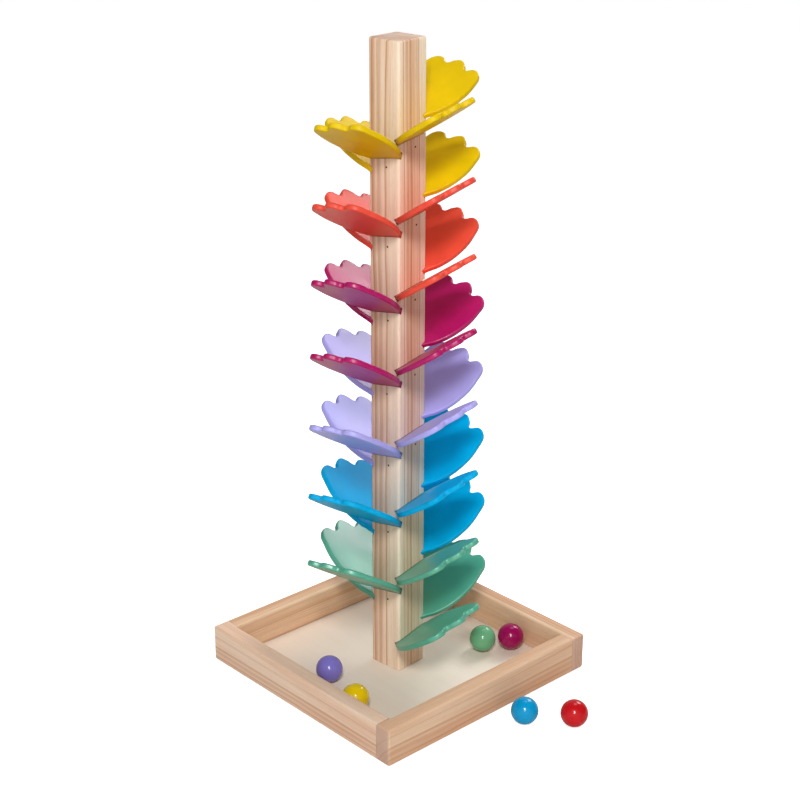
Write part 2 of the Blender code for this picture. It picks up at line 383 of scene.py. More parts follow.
class Wiring:
    """Adds nodes to one node tree and joins their sockets."""

    def __init__(self, tree: bpy.types.NodeTree) -> None:
        """Work in one node tree."""
        self.tree = tree

    def feed(self, socket: Socket, value: Value) -> None:
        """Link a socket into another, or set its value.

        Args:
            socket: The input socket.
            value: An output socket, or a plain value.
        """
        if isinstance(value, bpy.types.NodeSocket):
            self.tree.links.new(value, socket)
        else:
            socket.default_value = value

    def add(self, kind: str, inputs: dict[str, Value] | None = None, **settings: object) -> Node:
        """Add one node.

        Args:
            kind: The node's type.
            inputs: Values or sockets for its inputs, by name.
            **settings: The node's own properties.

        Returns:
            The new node.
        """
        node = self.tree.nodes.new(kind)
        for name, value in settings.items():
            setattr(node, name, value)
        for name, value in (inputs or {}).items():
            self.feed(node.inputs[name], value)
        return node

    def work_out(self, kind: str, operation: str, values: Sequence[Value]) -> bpy.types.NodeOutputs:
        """Add a node that works out one sum.

        Args:
            kind: The node's type.
            operation: The sum.
            values: Its inputs, in order.

        Returns:
            The node's outputs.
        """
        node = self.add(kind, operation=operation)
        for socket, value in zip(node.inputs, values):
            self.feed(socket, value)
        return node.outputs

    def math(self, operation: str, *values: Socket | float) -> Socket:
        """Work out one sum on numbers."""
        return self.work_out("ShaderNodeMath", operation, values)["Value"]

    def vector(self, operation: str, *values: Socket | Triple, result: str = "Vector") -> Socket:
        """Work out one sum on vectors, whose result is a vector or a value."""
        return self.work_out("ShaderNodeVectorMath", operation, values)[result]

    def spread(self, value: Socket, span: Pair, result: Pair = WHOLE) -> Socket:
        """Stretch a span of values to another span, and stop at its ends.

        Args:
            value: The incoming value.
            span: Where the incoming span starts and ends.
            result: What its ends become.

        Returns:
            The stretched value's socket.
        """
        (low, high), (start, end) = span, result
        inputs = {"Value": value, "From Min": low, "From Max": high, "To Min": start, "To Max": end}
        return self.add("ShaderNodeMapRange", inputs).outputs["Result"]

    def mix(self, share: Socket | float, first: Value, second: Value, blend: Blend = Blend.MIX) -> Socket:
        """Mix two colours.

        Args:
            share: How much of the second colour.
            first: The first colour.
            second: The second colour.
            blend: How the second goes over the first.

        Returns:
            The mixed colour's socket.
        """
        node = self.add("ShaderNodeMix", {"Factor": share}, data_type="RGBA", blend_type=blend.value)
        self.feed(node.inputs[MIX_FIRST], first)
        self.feed(node.inputs[MIX_SECOND], second)
        return node.outputs[MIX_RESULT]

    def noise(self, place: Socket, noise: Noise) -> Node:
        """Add a noise at a place that is given in millimetres."""
        stretched = self.vector("MULTIPLY", place, noise.stretch)
        return self.add("ShaderNodeTexNoise", {"Vector": stretched, "Scale": 1.0, "Detail": noise.detail})

    def speckle(self, place: Socket, noise: Noise) -> Socket:
        """Give the strength of a noise, with its span stretched to 0 to 1."""
        return self.spread(self.noise(place, noise).outputs["Fac"], noise.span)

    def ramp(self, value: Socket, stops: Sequence[Pair]) -> Socket:
        """Shape a value by a row of stops.

        Args:
            value: The incoming value, 0 to 1.
            stops: Position and brightness of each stop.

        Returns:
            The shaped value's socket.
        """
        node = self.add("ShaderNodeValToRGB", {"Fac": value})
        elements = node.color_ramp.elements
        while len(elements) < len(stops):
            elements.new(1.0)
        for element, (position, brightness) in zip(elements, stops):
            element.position = position
            element.color = (brightness, brightness, brightness, 1.0)
        return node.outputs["Color"]

    def place(self, shift: Triple = UNMOVED, turn: Triple = UNMOVED) -> Socket:
        """Give the place on the piece, in millimetres.

        Args:
            shift: What it is moved by.
            turn: What it is turned by.

        Returns:
            The place's socket.
        """
        given = self.add("ShaderNodeTexCoord").outputs["Object"]
        scale = (MILLIMETRES, MILLIMETRES, MILLIMETRES)
        inputs = {"Vector": given, "Location": shift, "Rotation": turn, "Scale": scale}
        return self.add("ShaderNodeMapping", inputs).outputs["Vector"]

    def facing(self, turn: Triple) -> Socket:
        """Give the way that the piece's surface faces, turned to suit."""
        given = self.add("ShaderNodeTexCoord").outputs["Normal"]
        return self.add("ShaderNodeMapping", {"Vector": given, "Rotation": turn}).outputs["Vector"]


class SharedGroup:
    """A node group that several finishes use, built once."""

    name: str
    inputs: dict[SocketKind, Sequence[str]]

    OUTPUTS = {SocketKind.COLOUR: ("Color",), SocketKind.NUMBER: ("Roughness", "Height")}

    def tree(self) -> bpy.types.NodeTree:
        """Find the group, or make it with its sockets and nodes.

        Returns:
            The group's node tree.
        """
        found = bpy.data.node_groups.get(self.name)
        if found:
            return found
        tree = bpy.data.node_groups.new(self.name, "ShaderNodeTree")
        for direction, sockets in (("INPUT", self.inputs), ("OUTPUT", self.OUTPUTS)):
            for kind, names in sockets.items():
                for name in names:
                    tree.interface.new_socket(name, in_out=direction, socket_type=kind.value)
        wiring = Wiring(tree)
        wiring.add("NodeGroupOutput", self.wire(wiring, wiring.add("NodeGroupInput").outputs))
        return tree

    def wire(self, wiring: Wiring, given: bpy.types.NodeOutputs) -> dict[str, Socket]:
        """Make the group's nodes.

        Args:
            wiring: The group's wiring.
            given: The group's inputs.

        Returns:
            Sockets for Color, Roughness and Height.
        """
        raise NotImplementedError


class WoodGrain(SharedGroup):
    """Sawn wood from a trunk whose heart lies along Z: year rings, fibres, resin flecks and end grain."""

    name = "wood_grain"
    inputs = {
        SocketKind.VECTOR: ("Place", "Facing"),
        SocketKind.COLOUR: ("Early Wood", "Late Wood"),
        SocketKind.NUMBER: ("Ring Gap", "Ring Strength", "Fibre Strength", "Blush", "Dullness"),
    }

    trunk_bend = Noise((0.018, 0.018, 0.0045), 2.0)
    bend_middle = (0.5, 0.5, 0.5)
    trunk_sway = (7.0, 7.0, 0.0)
    across_trunk = (1.0, 1.0, 0.0)
    year_rate = 0.11
    year_unevenness = 4.0
    year_vigour = (0.10, 1.0)
    season_stops = ((0.0, 0.0), (0.40, 0.08), (0.70, 0.42), (0.88, 1.0), (0.95, 0.8), (1.0, 0.0))
    fibres = Noise((1.5, 1.5, 0.022), 4.0, (0.32, 0.68))
    pores = Noise((4.5, 4.5, 0.16), 2.0, (0.62, 0.74))
    clouds = Noise((0.10, 0.10, 0.007), 1.0, (0.35, 0.65))
    cloud_share = 0.5
    end_span = (0.55, 0.9)
    end_share = 0.6
    fibre_nap = 0.3
    end_nap = 0.12
    ridge_height = 0.5
    pore_depth = 0.6
    fibre_shade = screen_colour(226, 208, 190)
    pore_shade = screen_colour(176, 140, 106)
    blush_shade = screen_colour(234, 205, 187)
    end_tint = screen_colour(192, 160, 146)

    def wire(self, wiring: Wiring, given: bpy.types.NodeOutputs) -> dict[str, Socket]:
        """Make the rings, fibres, pores and end grain.

        Args:
            wiring: The group's wiring.
            given: The group's inputs.

        Returns:
            Sockets for Color, Roughness and Height.
        """
        place = given["Place"]
        bend = wiring.noise(place, self.trunk_bend).outputs["Color"]
        sway = wiring.vector("MULTIPLY", wiring.vector("SUBTRACT", bend, self.bend_middle), self.trunk_sway)
        across = wiring.vector("MULTIPLY", wiring.vector("ADD", place, sway), self.across_trunk)
        from_heart = wiring.vector("LENGTH", across, result="Value")

        drift_place = wiring.math("MULTIPLY", from_heart, self.year_rate)
        drift = wiring.add("ShaderNodeTexNoise", {"W": drift_place, "Scale": 1.0}, noise_dimensions="1D")
        uneven = wiring.math("MULTIPLY", drift.outputs["Fac"], self.year_unevenness)
        years = wiring.math("ADD", wiring.math("DIVIDE", from_heart, given["Ring Gap"]), uneven)
        season = wiring.ramp(wiring.math("FRACT", years), self.season_stops)
        number = wiring.math("FLOOR", years)
        year = wiring.add("ShaderNodeTexWhiteNoise", {"W": number}, noise_dimensions="1D")
        late = wiring.math("MULTIPLY", season, wiring.spread(year.outputs["Value"], WHOLE, self.year_vigour))
        warmth = wiring.add("ShaderNodeSeparateColor", {"Color": year.outputs["Color"]}).outputs["Green"]

        fibre = wiring.speckle(place, self.fibres)
        pore = wiring.speckle(place, self.pores)
        cloud = wiring.speckle(place, self.clouds)
        blush = wiring.math("MULTIPLY", wiring.math("ADD", cloud, warmth), self.cloud_share)
        facing = wiring.add("ShaderNodeSeparateXYZ", {"Vector": given["Facing"]}).outputs["Z"]
        end = wiring.spread(wiring.math("ABSOLUTE", facing), self.end_span)

        layers = (
            (late, given["Ring Strength"], given["Late Wood"], Blend.MIX),
            (blush, given["Blush"], self.blush_shade, Blend.MULTIPLY),
            (fibre, given["Fibre Strength"], self.fibre_shade, Blend.MULTIPLY),
            (pore, given["Fibre Strength"], self.pore_shade, Blend.MULTIPLY),
            (end, self.end_share, self.end_tint, Blend.MIX),
        )
        colour = given["Early Wood"]
        for mask, strength, shade, blend in layers:
            colour = wiring.mix(wiring.math("MULTIPLY", mask, strength), colour, shade, blend)

        raised = wiring.math("MULTIPLY", fibre, given["Fibre Strength"])
        nap = wiring.math("MULTIPLY", raised, self.fibre_nap)
        fuzz = wiring.math("ADD", nap, wiring.math("MULTIPLY", end, self.end_nap))
        rough = wiring.math("ADD", given["Dullness"], fuzz)
        ridges = wiring.math("MULTIPLY", wiring.math("ADD", fibre, late), self.ridge_height)
        height = wiring.math("SUBTRACT", ridges, wiring.math("MULTIPLY", pore, self.pore_depth))
        return {"Color": colour, "Roughness": rough, "Height": height}


class PaintSkin(SharedGroup):
    """A coat of paint on sanded wood: soft clouds of tone, a faint peel, and fibres that show through it."""

    name = "paint_skin"
    inputs = {
        SocketKind.VECTOR: ("Place",),
        SocketKind.COLOUR: ("Paint",),
        SocketKind.NUMBER: ("Dullness", "Rim"),
    }

    clouds = Noise((0.045, 0.045, 0.045), 3.0, (0.3, 0.7))
    peels = Noise((0.75, 0.75, 0.75), 1.0)
    fibres = Noise((1.6, 0.10, 1.6), 3.0)
    # Paler paint along the rim: partly rubbed paint, partly a painted sheen on the rounded edge.
    rim_wear_and_sheen = Noise((0.30, 0.30, 0.30), 3.0, (0.45, 0.75))
    cloud_low = screen_colour(240, 240, 240)
    cloud_high = screen_colour(255, 255, 255)
    wear_and_sheen_tint = screen_colour(255, 244, 232)
    wear_and_sheen_share = 0.02
    cloud_dulling = (-0.05, 0.05)
    fibre_dulling = (-0.06, 0.06)
    peel_height = 0.6
    fibre_height = 0.4

    def wire(self, wiring: Wiring, given: bpy.types.NodeOutputs) -> dict[str, Socket]:
        """Make the clouds, peel, fibres, and the paler rim: partly rubbed paint, partly painted sheen.

        Args:
            wiring: The group's wiring.
            given: The group's inputs.

        Returns:
            Sockets for Color, Roughness and Height.
        """
        patterns = (self.clouds, self.peels, self.fibres, self.rim_wear_and_sheen)
        cloud, peel, fibre, wear_and_sheen = (wiring.speckle(given["Place"], pattern) for pattern in patterns)

        tone = wiring.mix(cloud, self.cloud_low, self.cloud_high)
        clouded = wiring.mix(1.0, given["Paint"], tone, Blend.MULTIPLY)
        # Painted sheen and rubbed paint along the rim: the rim is mixed towards a pale tint.
        thin = wiring.math("MULTIPLY", wiring.math("MULTIPLY", wear_and_sheen, given["Rim"]), self.wear_and_sheen_share)
        colour = wiring.mix(thin, clouded, self.wear_and_sheen_tint)

        patchy = wiring.spread(cloud, WHOLE, self.cloud_dulling)
        grainy = wiring.spread(fibre, WHOLE, self.fibre_dulling)
        rough = wiring.math("ADD", given["Dullness"], wiring.math("ADD", patchy, grainy))
        raised = wiring.math("MULTIPLY", peel, self.peel_height)
        height = wiring.math("ADD", raised, wiring.math("MULTIPLY", fibre, self.fibre_height))
        return {"Color": colour, "Roughness": rough, "Height": height}


@dataclass(frozen=True)
class Finish:
    """A finish, which becomes one material."""

    name: str

    def material(self) -> Material:
        """Make the material.

        Returns:
            The material, with its shader's sockets set or wired.
        """
        material = bpy.data.materials.new(self.name)
        material.use_nodes = True
        wiring = Wiring(material.node_tree)
        shader = material.node_tree.nodes["Principled BSDF"]
        for name, value in self.surface(wiring).items():
            wiring.feed(shader.inputs[name], value)
        return material

    def surface(self, wiring: Wiring) -> dict[str, Value]:
        """Wire the finish up to its shader.

        Args:
            wiring: The material's wiring.

        Returns:
            Values or sockets for the shader's sockets, by name.
        """
        raise NotImplementedError


@dataclass(frozen=True)
class Bump:
    """A bump: how deep it is, in metres, and how much of it shows."""

    depth: float
    strength: float

    def skin(self, wiring: Wiring, group: SharedGroup, inputs: dict[str, Value]) -> dict[str, Socket]:
        """Place a shared group in a material, with its height as the bump.

        Args:
            wiring: The material's wiring.
            group: The shared group.
            inputs: The group's own inputs.

        Returns:
            Sockets for the shader's colour, roughness and normal.
        """
        skin = wiring.add("ShaderNodeGroup", inputs, node_tree=group.tree()).outputs
        relief = {"Height": skin["Height"], "Distance": self.depth, "Strength": self.strength}
        normal = wiring.add("ShaderNodeBump", relief).outputs["Normal"]
        return {"Base Color": skin["Color"], "Roughness": skin["Roughness"], "Normal": normal}


@dataclass(frozen=True)
class Wood(Finish):
    """Bare planed wood: where the piece was sawn from its trunk, and its colours."""

    grain_turn: Triple
    heart: Triple
    early: Colour = screen_colour(253, 237, 215)
    late: Colour = screen_colour(201, 152, 112)
    ring_gap: float = 4.4
    ring_strength: float = 0.95
    fibre_strength: float = 0.45
    blush: float = 0.85
    dullness: float = 0.50
    sheen_level: float = 0.25
    bump: Bump = Bump(0.00025, 0.18)

    def surface(self, wiring: Wiring) -> dict[str, Value]:
        """Wire the wood, with its grain turned along the piece.

        Args:
            wiring: The material's wiring.

        Returns:
            Values or sockets for the shader's sockets, by name.
        """
        inputs = {
            "Place": wiring.place(self.heart, self.grain_turn),
            "Facing": wiring.facing(self.grain_turn),
            "Early Wood": self.early,
            "Late Wood": self.late,
            "Ring Gap": self.ring_gap,
            "Ring Strength": self.ring_strength,
            "Fibre Strength": self.fibre_strength,
            "Blush": self.blush,
            "Dullness": self.dullness,
        }
        return {**self.bump.skin(wiring, WoodGrain(), inputs), "Specular IOR Level": self.sheen_level}


@dataclass(frozen=True)
class BattenPine(Wood):
    """The tray's pine, with closer and fainter rings than the post's."""

    late: Colour = screen_colour(198, 152, 121)
    ring_gap: float = 3.8
    ring_strength: float = 0.62


@dataclass(frozen=True)
class SatinPaint(Finish):
    """Satin paint on a plywood petal, which reads the petal's own flat layout."""

    colour: Colour
    sheen_level: float
    dullness: float = 0.34
    bump: Bump = Bump(0.00012, 0.32)

    def surface(self, wiring: Wiring) -> dict[str, Value]:
        """Wire the paint.

        Args:
            wiring: The material's wiring.

        Returns:
            Values or sockets for the shader's sockets, by name.
        """
        layout = wiring.add("ShaderNodeAttribute", attribute_name=Petal.LAYOUT).outputs["Vector"]
        rim = wiring.add("ShaderNodeAttribute", attribute_name=Petal.RIM).outputs["Fac"]
        inputs = {"Place": layout, "Rim": rim, "Paint": self.colour, "Dullness": self.dullness}
        return {**self.bump.skin(wiring, PaintSkin(), inputs), "Specular IOR Level": self.sheen_level}


@dataclass(frozen=True)
class GlossPaint(Finish):
    """Gloss paint under a clear coat on a turned ball."""

    colour: Colour
    dullness: float = 0.24
    sheen_level: float = 0.06
    coat: float = 0.40
    coat_dullness: float = 0.11
    bump: Bump = Bump(0.00008, 0.12)

    def surface(self, wiring: Wiring) -> dict[str, Value]:
        """Wire the paint.

        Args:
            wiring: The material's wiring.

        Returns:
            Values or sockets for the shader's sockets, by name.
        """
        inputs = {"Place": wiring.place(), "Paint": self.colour, "Dullness": self.dullness}
        coat = {
            "Specular IOR Level": self.sheen_level,
            "Coat Weight": self.coat,
            "Coat Roughness": self.coat_dullness,
        }
        return {**self.bump.skin(wiring, PaintSkin(), inputs), **coat}


@dataclass(frozen=True)
class PlatedSteel(Finish):
    """Plated steel with fine scratches and dull patches."""

    bright: Colour
    dull: Colour
    roughness: Pair
    scratches: Noise = Noise((9.0, 1.2, 9.0), 2.0, (0.2, 0.8))
    patches: Noise = Noise((0.6, 0.6, 0.6), 2.0, (0.3, 0.7))

    def surface(self, wiring: Wiring) -> dict[str, Value]:
        """Wire the steel.

        Args:
            wiring: The material's wiring.

        Returns:
            Values or sockets for the shader's sockets, by name.
        """
        place = wiring.place()
        colour = wiring.mix(wiring.speckle(place, self.patches), self.bright, self.dull)
        rough = wiring.spread(wiring.speckle(place, self.scratches), WHOLE, self.roughness)
        return {"Base Color": colour, "Roughness": rough, "Metallic": 1.0}


@dataclass(frozen=True)
class StudioWhite(Finish):
    """The studio's floor: white to the camera, and a little darker and warmer in what it throws back."""

    bounce: Colour = screen_colour(222, 219, 215)
    white: Colour = screen_colour(247, 247, 247)
    glow: float = 0.75
    dullness: float = 0.8
    sheen_level: float = 0.1

    def surface(self, wiring: Wiring) -> dict[str, Value]:
        """Wire the floor.

        Args:
            wiring: The material's wiring.

        Returns:
            Values or sockets for the shader's sockets, by name.
        """
        seen = wiring.add("ShaderNodeLightPath").outputs["Is Camera Ray"]
        return {
            "Base Color": wiring.mix(seen, self.bounce, self.white),
            "Emission Strength": wiring.math("MULTIPLY", seen, self.glow),
            "Emission Color": self.white,
            "Roughness": self.dullness,
            "Specular IOR Level": self.sheen_level,
        }


PETAL_PAINTS = {
    Paint.YELLOW: SatinPaint("petal_yellow_paint", screen_colour(229, 194, 2), sheen_level=0.10),
    Paint.RED: SatinPaint("petal_red_paint", screen_colour(237, 81, 61), sheen_level=0.16),
    Paint.MAGENTA: SatinPaint("petal_magenta_paint", screen_colour(181, 17, 102), sheen_level=0.30),
    Paint.VIOLET: SatinPaint("petal_violet_paint", screen_colour(176, 172, 240), sheen_level=0.22),
    Paint.BLUE: SatinPaint("petal_blue_paint", screen_colour(2, 174, 228), sheen_level=0.03),
    Paint.GREEN: SatinPaint("petal_green_paint", screen_colour(82, 171, 142), sheen_level=0.60),
}

BALL_PAINTS = {
    Paint.YELLOW: GlossPaint("ball_yellow_paint", screen_colour(244, 208, 4)),
    Paint.RED: GlossPaint("ball_red_paint", screen_colour(200, 20, 28)),
    Paint.MAGENTA: GlossPaint("ball_magenta_paint", screen_colour(158, 6, 84)),
    Paint.VIOLET: GlossPaint("ball_violet_paint", screen_colour(130, 118, 202)),
    Paint.BLUE: GlossPaint("ball_blue_paint", screen_colour(4, 152, 206)),
    Paint.GREEN: GlossPaint("ball_green_paint", screen_colour(108, 172, 128)),
}

GRAIN_ALONG_X = (0.0, QUARTER_TURN, 0.0)
GRAIN_ALONG_Y = (QUARTER_TURN, 0.0, 0.0)
PLY_GRAIN = (QUARTER_TURN, 0.0, 0.04)

POST_PINE = Wood("post_pine", UNMOVED, (56.0, 35.0, 120.0))

BATTEN_PINES = {
    Side.RIGHT_FRONT: BattenPine(
        "right_front_pine", GRAIN_ALONG_X, (30.0, 140.0, 0.0), screen_colour(231, 201, 171)
    ),
    Side.BACK_RIGHT: BattenPine(
        "back_right_pine", GRAIN_ALONG_Y, (-150.0, 20.0, 40.0), screen_colour(234, 200, 168)
    ),
    Side.BACK_LEFT: BattenPine(
        "back_left_pine", GRAIN_ALONG_X, (-45.0, -70.0, 90.0), screen_colour(243, 214, 182)
    ),
    Side.LEFT_FRONT: BattenPine(
        "left_front_pine", GRAIN_ALONG_Y, (70.0, -40.0, 160.0), screen_colour(249, 224, 201)
    ),
}

FLOOR_PLY = Wood(
    "floor_ply",
    PLY_GRAIN,
    (0.0, 52.0, 0.0),
    early=screen_colour(240, 226, 211),
    late=screen_colour(230, 211, 190),
    ring_gap=5.0,
    ring_strength=0.12,
    fibre_strength=0.06,
    blush=0.12,
    dullness=0.38,
    sheen_level=0.6,
    bump=Bump(0.00025, 0.02),
)

BRAD_STEEL = PlatedSteel("brad_steel", screen_colour(112, 90, 74), screen_colour(70, 56, 47), (0.42, 0.62))
SCREW_STEEL = PlatedSteel(
    "screw_steel", screen_colour(200, 200, 196), screen_colour(160, 160, 158), (0.24, 0.44)
)


@dataclass(frozen=True)
class Spiral:
    """The run of petals round the post: how they are graded from the top one to the bottom one."""

    petals: int = 30
    petals_per_paint: int = 5
    post_side: float = 0.028
    post_turn: float = math.radians(4.8)
    first_height: float = 0.4240
    step: float = 0.01369
    fall: float = math.radians(9.3)
    rise: Pair = (math.radians(31.0), math.radians(34.5))
    length: Pair = (0.0535, 0.0710)
    half_width: Pair = (0.0250, 0.0290)
    thickness: float = 0.0040
    root_half_width: float = 0.0150
    tongue_depth: float = 0.0100
    usual_swivel: float = -2.0

    ODD_SWIVELS = {3: 1.0, 4: -5.5, 8: -5.5, 9: 2.5, 12: -6.0, 13: -7.0}

    @property
    def tongue_radius(self) -> float:
        """Give the radius of a petal's round root."""
        return (self.root_half_width**2 + self.tongue_depth**2) / (2 * self.tongue_depth)

    @property
    def tongue_centre(self) -> float:
        """Give how far in front of the post's face the round root has its middle."""
        return self.tongue_radius - self.tongue_depth

    def graded(self, index: int, ends: Pair) -> float:
        """Grade a value evenly from its end at the top petal to its end at the bottom one."""
        first, last = ends
        return first + (last - first) * index / (self.petals - 1)

    def paint(self, index: int) -> Paint:
        """Name the paint of a petal."""
        return list(Paint)[index // self.petals_per_paint]

    def directions(self, index: int) -> tuple[Vector, Vector]:
        """Give the way out of a petal's post face, and the way down the spiral along that face."""
        turn = self.post_turn - index * QUARTER_TURN
        return Vector((math.cos(turn), math.sin(turn), 0.0)), Vector((math.sin(turn), -math.cos(turn), 0.0))

    def root(self, index: int) -> Vector:
        """Give the point where a petal's underside meets the middle of its post face."""
        outward, _ = self.directions(index)
        return outward * self.post_side / 2 + UP * (self.first_height - index * self.step)

    def slot_place(self, index: int) -> Matrix:
        """Give the frame of a slot: X along the post's face, Y outwards, Z square to the petal.

        Args:
            index: The petal, 0 at the top.

        Returns:
            The frame, on the middle of the petal's thickness.
        """
        outward, downstream = self.directions(index)
        rise = self.graded(index, self.rise)
        normal = (UP - outward * math.tan(rise) + downstream * math.tan(self.fall)).normalized()
        along = (downstream - UP * math.tan(self.fall)).normalized()
        axes = Matrix((along, normal.cross(along), normal)).transposed().to_4x4()
        return Matrix.Translation(self.root(index) + normal * self.thickness / 2) @ axes

    def petal_place(self, index: int) -> Matrix:
        """Give the frame of a petal, swivelled in its slot by as much as it was glued in off the square.

        Args:
            index: The petal, 0 at the top.

        Returns:
            The petal's frame.
        """
        middle = Matrix.Translation((0.0, self.tongue_centre, 0.0))
        angle = math.radians(self.ODD_SWIVELS.get(index + 1, self.usual_swivel))
        return self.slot_place(index) @ middle @ Matrix.Rotation(angle, 4, "Z") @ middle.inverted()


@dataclass
class Petal:
    """One painted plywood petal: a round root, sides that swell out, and a three-lobed outer edge.

    The outline's points are shares: of the root's angle, of the half width, and of the length.
    """

    spiral: Spiral
    index: int
    curve_steps: int = 9
    rim_rounding: float = 0.0011
    rim_steps: int = 5
    face_border: float = 0.0012
    layout_shift: float = 17.0

    LAYOUT = "flat_layout"
    RIM = "rim"
    TONGUE_SHARES = (0.40, 0.75, 1.00)
    FLARE_SHARE, FLARE_HEIGHT = 0.52, 0.140
    OUTER_EDGE = (
        (1.000, 0.445),
        (0.965, 0.735),
        (0.830, 0.895),
        (0.600, 0.936),
        (0.350, 0.880),
        (0.195, 0.953),
    )

    @property
    def paint(self) -> Paint:
        """Name the petal's paint."""
        return self.spiral.paint(self.index)

    @property
    def node(self) -> str:
        """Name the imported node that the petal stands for."""
        return f"petal_{self.index + 1:02d}_{self.paint.value}"

    def outline(self) -> list[Pair]:
        """Trace the petal's edge.

        Returns:
            The knots of a smooth closed curve, from the bottom of the tongue round to it again.
        """
        length = self.spiral.graded(self.index, self.spiral.length)
        half_width = self.spiral.graded(self.index, self.spiral.half_width)
        radius, root = self.spiral.tongue_radius, self.spiral.root_half_width
        right = []
        for share in self.TONGUE_SHARES:
            angle = share * math.asin(root / radius)
            right.append((radius * math.sin(angle), self.spiral.tongue_centre - radius * math.cos(angle)))
        right.append((root + self.FLARE_SHARE * (half_width - root), self.FLARE_HEIGHT * length))
        right += [(across * half_width, out * length) for across, out in self.OUTER_EDGE]
        left = [(-across, out) for across, out in reversed(right)]
        return [(0.0, -self.spiral.tongue_depth), *right, (0.0, length), *left]

    def build(self) -> Piece:
        """Cut the plate to its outline, round its rim and set it in its slot.

        Returns:
            The petal, in place.
        """
        plate = outline_loop(self.outline(), self.curve_steps)
        thickness = self.spiral.thickness
        with editing(plate):
            bpy.ops.mesh.edge_face_add()
            bpy.ops.transform.translate(value=(0.0, 0.0, -thickness / 2))
            bpy.ops.mesh.extrude_region_move(TRANSFORM_OT_translate={"value": (0.0, 0.0, thickness)})
            bpy.ops.mesh.select_all(action="SELECT")
            bpy.ops.mesh.normals_make_consistent(inside=False)
            select_where(plate, Select.EDGES, is_level)
            bpy.ops.mesh.bevel(offset=self.rim_rounding, segments=self.rim_steps, clamp_overlap=False)
            select_where(plate, Select.FACES, lambda face: len(face.verts) > QUAD_CORNERS)
            bpy.ops.mesh.inset(thickness=self.face_border, use_individual=True)
        self.note_layout(plate)
        plate.matrix_world = self.spiral.petal_place(self.index)
        apply_place(plate)
        return plate

    def note_layout(self, plate: Piece) -> None:
        """Keep each point's flat place, in millimetres, and how far it is round the rim.

        Args:
            plate: The petal before it is set in its slot.
        """
        cap = self.spiral.thickness / 2
        shift = UP * self.layout_shift * self.index
        places = [point.co.copy() for point in plate.data.vertices]
        layout = plate.data.attributes.new(self.LAYOUT, "FLOAT_VECTOR", "POINT")
        for item, place in zip(layout.data, places):
            item.vector = place * MILLIMETRES + shift
        rim = plate.data.attributes.new(self.RIM, "FLOAT", "POINT")
        for item, place in zip(rim.data, places):
            item.value = min(1.0, (cap - abs(place.z)) / self.rim_rounding)


@dataclass
class Post:
    """The square pine post, with a sawn slot for each petal."""

    spiral: Spiral
    rounding: float = 0.0018
    rounding_steps: int = 5
    slot_reach: float = 0.0080
    slot_steps: int = 112

    NODE = "post"

    def slot_cutter(self) -> Piece:
        """Model the saw's cut for one petal, round at its bottom.

        Returns:
            The cutter, in a slot's own frame.
        """
        bpy.ops.mesh.primitive_cylinder_add(
            vertices=self.slot_steps,
            radius=self.spiral.tongue_radius + FIT_GAP,
            depth=self.spiral.thickness + 2 * FIT_GAP,
            location=(0.0, self.spiral.tongue_centre, 0.0),
        )
        cutter = bpy.context.object
        apply_place(cutter)
        saw_off(cutter, (0.0, self.slot_reach, 0.0), (0.0, 1.0, 0.0))
        return cutter

    def build(self, holes: Sequence[Piece]) -> Piece:
        """Plane the post, round its edges, saw its slots and bore its foot.

        Args:
            holes: The shapes that are bored out of it.

        Returns:
            The post, in place.
        """
        low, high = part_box(self.NODE)
        half = self.spiral.post_side / 2
        middle = (low[2] + high[2]) / 2
        post = add_block((-half, -half, low[2]), (half, half, high[2]))
        with editing(post):
            select_where(post, Select.EDGES, lambda edge: max(end.z for end in edge_ends(edge)) > middle)
            bpy.ops.mesh.bevel(offset=self.rounding, segments=self.rounding_steps)
        post.rotation_euler.z = self.spiral.post_turn
        apply_place(post)
        places = [self.spiral.slot_place(index) for index in range(self.spiral.petals)]
        slots = set_out(self.slot_cutter(), places)
        cut_away(post, [*slots, *holes])
        remove_pieces(slots)
        return post


@dataclass
class Brads:
    """The brads that pin the petals, one below each.

    The points of the domed head are shares: of its radius, and of how far it stands proud.
    """

    spiral: Spiral
    head_radius: float = 0.00085
    shank_radius: float = 0.000595
    proud: float = 0.00015
    neck: float = 0.0006
    length: float = 0.0030
    point: float = 0.0009
    drop: float = 0.0062
    aside: float = -0.0030
    scatter: float = 0.0007
    steps: int = 20

    DOME = ((0.0, 1.0), (0.55, 0.8), (0.9, 0.3), (1.0, -1.0))

    def place(self, index: int) -> Matrix:
        """Give the frame of a brad: its head on the post's face, and Z outwards.

        Args:
            index: The petal that it pins, 0 at the top.

        Returns:
            The frame, a little off the square as the brads were driven by hand.
        """
        outward, downstream = self.spiral.directions(index)
        aside = self.aside + self.scatter * math.sin(index)
        drop = self.drop + self.scatter * math.cos(index)
        axes = Matrix((downstream, outward.cross(downstream), outward)).transposed().to_4x4()
        return Matrix.Translation(self.spiral.root(index) + downstream * aside - UP * drop) @ axes

    def build(self) -> Piece:
        """Turn one brad and drive its copies into the post.

        Returns:
            All the brads, joined as one piece.
        """
        profile = [(self.head_radius * across, self.proud * up) for across, up in self.DOME]
        profile += [
            (self.shank_radius, -self.neck),
            (self.shank_radius, self.point - self.length),
            (0.0, -self.length),
        ]
        pattern = turn_profile(profile, self.steps)
        return join_pieces(set_out(pattern, [self.place(index) for index in range(self.spiral.petals)]))


